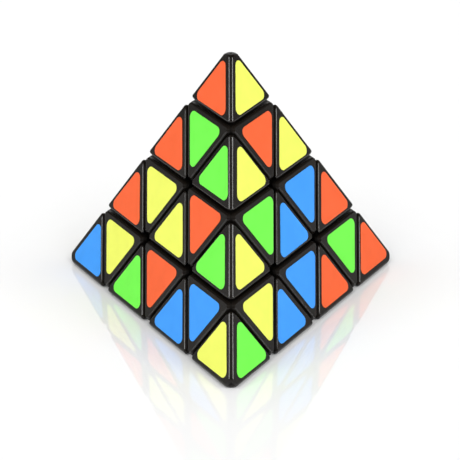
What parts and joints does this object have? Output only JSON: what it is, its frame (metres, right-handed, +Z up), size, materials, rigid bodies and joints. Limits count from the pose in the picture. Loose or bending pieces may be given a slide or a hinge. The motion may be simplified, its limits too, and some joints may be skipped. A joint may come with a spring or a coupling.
{
  "type": "pyramid twisty puzzle",
  "caption": "Tetrahedral twisty puzzle of rounded black plastic pieces on a sprung ball core; tips, upper layers and halves turn about each corner axis.",
  "frame": {"origin": "centre of the base face, on the plane the puzzle rests on", "axes": "+Z up through the top corner; -Y towards the front corner; +X to the right, along the back base edge from the left corner to the right corner"},
  "size_m": [0.0952, 0.083, 0.0779],
  "materials": {
    "black_plastic": "injection moulded ABS, black, satin gloss with rounded edges",
    "inner_black_plastic": "moulded ABS, black, plain as moulded",
    "core_nylon": "off-white nylon, as moulded",
    "screw_steel": "machine screw, bright zinc plated",
    "washer_steel": "stamped washer, zinc plated",
    "spring_steel": "drawn spring wire",
    "sticker_orange": "vinyl sticker, orange, satin",
    "sticker_yellow": "vinyl sticker, lemon yellow, satin",
    "sticker_green": "vinyl sticker, bright green, satin",
    "sticker_blue": "vinyl sticker, sky blue, satin"
  },
  "bodies": {
    "root": {"core": "core_nylon", "axis_screw_top": "screw_steel", "washer_top": "washer_steel", "spring_top": "spring_steel", "axis_screw_front": "screw_steel", "washer_front": "washer_steel", "spring_front": "spring_steel", "axis_screw_left": "screw_steel", "washer_left": "washer_steel", "spring_left": "spring_steel", "axis_screw_right": "screw_steel", "washer_right": "washer_steel", "spring_right": "spring_steel"},
    "inner_hub_top": {"inner_hub_top": "inner_black_plastic"},
    "axial_top": {"axial_top": "black_plastic"},
    "tip_top": {"tip_top": "black_plastic"},
    "inner_hub_front": {"inner_hub_front": "inner_black_plastic"},
    "axial_front": {"axial_front": "black_plastic"},
    "tip_front": {"tip_front": "black_plastic"},
    "inner_hub_left": {"inner_hub_left": "inner_black_plastic"},
    "axial_left": {"axial_left": "black_plastic"},
    "tip_left": {"tip_left": "black_plastic"},
    "inner_hub_right": {"inner_hub_right": "inner_black_plastic"},
    "axial_right": {"axial_right": "black_plastic"},
    "tip_right": {"tip_right": "black_plastic"},
    "mid_edge_top_front": {"mid_edge_top_front": "black_plastic"},
    "mid_edge_top_left": {"mid_edge_top_left": "black_plastic"},
    "mid_edge_top_right": {"mid_edge_top_right": "black_plastic"},
    "mid_edge_front_left": {"mid_edge_front_left": "black_plastic"},
    "mid_edge_front_right": {"mid_edge_front_right": "black_plastic"},
    "mid_edge_left_right": {"mid_edge_left_right": "black_plastic"},
    "wing_top_front": {"wing_top_front": "black_plastic"},
    "wing_top_left": {"wing_top_left": "black_plastic"},
    "wing_top_right": {"wing_top_right": "black_plastic"},
    "wing_front_top": {"wing_front_top": "black_plastic"},
    "wing_front_left": {"wing_front_left": "black_plastic"},
    "wing_front_right": {"wing_front_right": "black_plastic"},
    "wing_left_top": {"wing_left_top": "black_plastic"},
    "wing_left_front": {"wing_left_front": "black_plastic"},
    "wing_left_right": {"wing_left_right": "black_plastic"},
    "wing_right_top": {"wing_right_top": "black_plastic"},
    "wing_right_front": {"wing_right_front": "black_plastic"},
    "wing_right_left": {"wing_right_left": "black_plastic"},
    "face_center_bottom": {"face_center_bottom": "black_plastic"},
    "face_center_back": {"face_center_back": "black_plastic"},
    "face_center_right": {"face_center_right": "black_plastic"},
    "face_center_left": {"face_center_left": "black_plastic"}
  },
  "joints": [
    {"name": "half_turn_top", "type": "hinge", "parent": "root", "child": "inner_hub_top", "pos_m": [0, 0, 0.02041], "axis": [0, 0, 1], "continuous": true},
    {"name": "half_turn_front", "type": "hinge", "parent": "root", "child": "inner_hub_front", "pos_m": [0, 0, 0.02041], "axis": [0, -0.9428, -0.3333], "range_deg": [-360, 360]},
    {"name": "half_turn_left", "type": "hinge", "parent": "root", "child": "inner_hub_left", "pos_m": [0, 0, 0.02041], "axis": [-0.8165, 0.4714, -0.3333], "range_deg": [-360, 360]},
    {"name": "half_turn_right", "type": "hinge", "parent": "root", "child": "inner_hub_right", "pos_m": [0, 0, 0.02041], "axis": [0.8165, 0.4714, -0.3333], "range_deg": [-360, 360]},
    {"name": "upper_turn_top", "type": "hinge", "parent": "inner_hub_top", "child": "axial_top", "pos_m": [0, 0, 0.02041], "axis": [0, 0, 1], "continuous": true},
    {"name": "upper_turn_front", "type": "hinge", "parent": "inner_hub_front", "child": "axial_front", "pos_m": [0, 0, 0.02041], "axis": [0, -0.9428, -0.3333], "range_deg": [-360, 360]},
    {"name": "upper_turn_left", "type": "hinge", "parent": "inner_hub_left", "child": "axial_left", "pos_m": [0, 0, 0.02041], "axis": [-0.8165, 0.4714, -0.3333], "range_deg": [-360, 360]},
    {"name": "upper_turn_right", "type": "hinge", "parent": "inner_hub_right", "child": "axial_right", "pos_m": [0, 0, 0.02041], "axis": [0.8165, 0.4714, -0.3333], "range_deg": [-360, 360]},
    {"name": "tip_turn_top", "type": "hinge", "parent": "axial_top", "child": "tip_top", "pos_m": [0, 0, 0.02041], "axis": [0, 0, 1], "continuous": true},
    {"name": "tip_turn_front", "type": "hinge", "parent": "axial_front", "child": "tip_front", "pos_m": [0, 0, 0.02041], "axis": [0, -0.9428, -0.3333], "continuous": true},
    {"name": "tip_turn_left", "type": "hinge", "parent": "axial_left", "child": "tip_left", "pos_m": [0, 0, 0.02041], "axis": [-0.8165, 0.4714, -0.3333], "continuous": true},
    {"name": "tip_turn_right", "type": "hinge", "parent": "axial_right", "child": "tip_right", "pos_m": [0, 0, 0.02041], "axis": [0.8165, 0.4714, -0.3333], "continuous": true},
    {"name": "mid_edge_top_front_with_half_front", "type": "hinge", "parent": "inner_hub_top", "child": "mid_edge_top_front", "pos_m": [0, 0, 0.02041], "axis": [0, -0.9428, -0.3333], "range_deg": [-360, 360]},
    {"name": "mid_edge_top_left_with_half_left", "type": "hinge", "parent": "inner_hub_top", "child": "mid_edge_top_left", "pos_m": [0, 0, 0.02041], "axis": [-0.8165, 0.4714, -0.3333], "range_deg": [-360, 360]},
    {"name": "mid_edge_top_right_with_half_right", "type": "hinge", "parent": "inner_hub_top", "child": "mid_edge_top_right", "pos_m": [0, 0, 0.02041], "axis": [0.8165, 0.4714, -0.3333], "range_deg": [-360, 360]},
    {"name": "mid_edge_front_left_with_half_left", "type": "hinge", "parent": "inner_hub_front", "child": "mid_edge_front_left", "pos_m": [0, 0, 0.02041], "axis": [-0.8165, 0.4714, -0.3333], "range_deg": [-360, 360]},
    {"name": "mid_edge_front_right_with_half_right", "type": "hinge", "parent": "inner_hub_front", "child": "mid_edge_front_right", "pos_m": [0, 0, 0.02041], "axis": [0.8165, 0.4714, -0.3333], "range_deg": [-360, 360]},
    {"name": "mid_edge_left_right_with_half_right", "type": "hinge", "parent": "inner_hub_left", "child": "mid_edge_left_right", "pos_m": [0, 0, 0.02041], "axis": [0.8165, 0.4714, -0.3333], "range_deg": [-360, 360]},
    {"name": "wing_top_front_with_half_front", "type": "hinge", "parent": "axial_top", "child": "wing_top_front", "pos_m": [0, 0, 0.02041], "axis": [0, -0.9428, -0.3333], "range_deg": [-360, 360]},
    {"name": "wing_top_left_with_half_left", "type": "hinge", "parent": "axial_top", "child": "wing_top_left", "pos_m": [0, 0, 0.02041], "axis": [-0.8165, 0.4714, -0.3333], "range_deg": [-360, 360]},
    {"name": "wing_top_right_with_half_right", "type": "hinge", "parent": "axial_top", "child": "wing_top_right", "pos_m": [0, 0, 0.02041], "axis": [0.8165, 0.4714, -0.3333], "range_deg": [-360, 360]},
    {"name": "wing_front_top_with_half_top", "type": "hinge", "parent": "axial_front", "child": "wing_front_top", "pos_m": [0, 0, 0.02041], "axis": [0, 0, 1], "continuous": true},
    {"name": "wing_front_left_with_half_left", "type": "hinge", "parent": "axial_front", "child": "wing_front_left", "pos_m": [0, 0, 0.02041], "axis": [-0.8165, 0.4714, -0.3333], "range_deg": [-360, 360]},
    {"name": "wing_front_right_with_half_right", "type": "hinge", "parent": "axial_front", "child": "wing_front_right", "pos_m": [0, 0, 0.02041], "axis": [0.8165, 0.4714, -0.3333], "range_deg": [-360, 360]},
    {"name": "wing_left_top_with_half_top", "type": "hinge", "parent": "axial_left", "child": "wing_left_top", "pos_m": [0, 0, 0.02041], "axis": [0, 0, 1], "continuous": true},
    {"name": "wing_left_front_with_half_front", "type": "hinge", "parent": "axial_left", "child": "wing_left_front", "pos_m": [0, 0, 0.02041], "axis": [0, -0.9428, -0.3333], "range_deg": [-360, 360]},
    {"name": "wing_left_right_with_half_right", "type": "hinge", "parent": "axial_left", "child": "wing_left_right", "pos_m": [0, 0, 0.02041], "axis": [0.8165, 0.4714, -0.3333], "range_deg": [-360, 360]},
    {"name": "wing_right_top_with_half_top", "type": "hinge", "parent": "axial_right", "child": "wing_right_top", "pos_m": [0, 0, 0.02041], "axis": [0, 0, 1], "continuous": true},
    {"name": "wing_right_front_with_half_front", "type": "hinge", "parent": "axial_right", "child": "wing_right_front", "pos_m": [0, 0, 0.02041], "axis": [0, -0.9428, -0.3333], "range_deg": [-360, 360]},
    {"name": "wing_right_left_with_half_left", "type": "hinge", "parent": "axial_right", "child": "wing_right_left", "pos_m": [0, 0, 0.02041], "axis": [-0.8165, 0.4714, -0.3333], "range_deg": [-360, 360]},
    {"name": "face_center_bottom_with_half_right", "type": "hinge", "parent": "mid_edge_front_left", "child": "face_center_bottom", "pos_m": [0, 0, 0.02041], "axis": [0.8165, 0.4714, -0.3333], "range_deg": [-360, 360]},
    {"name": "face_center_back_with_half_right", "type": "hinge", "parent": "mid_edge_top_left", "child": "face_center_back", "pos_m": [0, 0, 0.02041], "axis": [0.8165, 0.4714, -0.3333], "range_deg": [-360, 360]},
    {"name": "face_center_right_with_half_right", "type": "hinge", "parent": "mid_edge_top_front", "child": "face_center_right", "pos_m": [0, 0, 0.02041], "axis": [0.8165, 0.4714, -0.3333], "range_deg": [-360, 360]},
    {"name": "face_center_left_with_half_left", "type": "hinge", "parent": "mid_edge_top_front", "child": "face_center_left", "pos_m": [0, 0, 0.02041], "axis": [-0.8165, 0.4714, -0.3333], "range_deg": [-360, 360]}
  ],
  "couplings": [
    {"joint": "mid_edge_top_front_with_half_front", "follows": "half_turn_front", "ratio": 1},
    {"joint": "mid_edge_top_left_with_half_left", "follows": "half_turn_left", "ratio": 1},
    {"joint": "mid_edge_top_right_with_half_right", "follows": "half_turn_right", "ratio": 1},
    {"joint": "mid_edge_front_left_with_half_left", "follows": "half_turn_left", "ratio": 1},
    {"joint": "mid_edge_front_right_with_half_right", "follows": "half_turn_right", "ratio": 1},
    {"joint": "mid_edge_left_right_with_half_right", "follows": "half_turn_right", "ratio": 1},
    {"joint": "wing_top_front_with_half_front", "follows": "half_turn_front", "ratio": 1},
    {"joint": "wing_top_left_with_half_left", "follows": "half_turn_left", "ratio": 1},
    {"joint": "wing_top_right_with_half_right", "follows": "half_turn_right", "ratio": 1},
    {"joint": "wing_front_top_with_half_top", "follows": "half_turn_top", "ratio": 1},
    {"joint": "wing_front_left_with_half_left", "follows": "half_turn_left", "ratio": 1},
    {"joint": "wing_front_right_with_half_right", "follows": "half_turn_right", "ratio": 1},
    {"joint": "wing_left_top_with_half_top", "follows": "half_turn_top", "ratio": 1},
    {"joint": "wing_left_front_with_half_front", "follows": "half_turn_front", "ratio": 1},
    {"joint": "wing_left_right_with_half_right", "follows": "half_turn_right", "ratio": 1},
    {"joint": "wing_right_top_with_half_top", "follows": "half_turn_top", "ratio": 1},
    {"joint": "wing_right_front_with_half_front", "follows": "half_turn_front", "ratio": 1},
    {"joint": "wing_right_left_with_half_left", "follows": "half_turn_left", "ratio": 1},
    {"joint": "face_center_bottom_with_half_right", "follows": "half_turn_right", "ratio": 1},
    {"joint": "face_center_back_with_half_right", "follows": "half_turn_right", "ratio": 1},
    {"joint": "face_center_right_with_half_right", "follows": "half_turn_right", "ratio": 1},
    {"joint": "face_center_left_with_half_left", "follows": "half_turn_left", "ratio": 1}
  ]
}
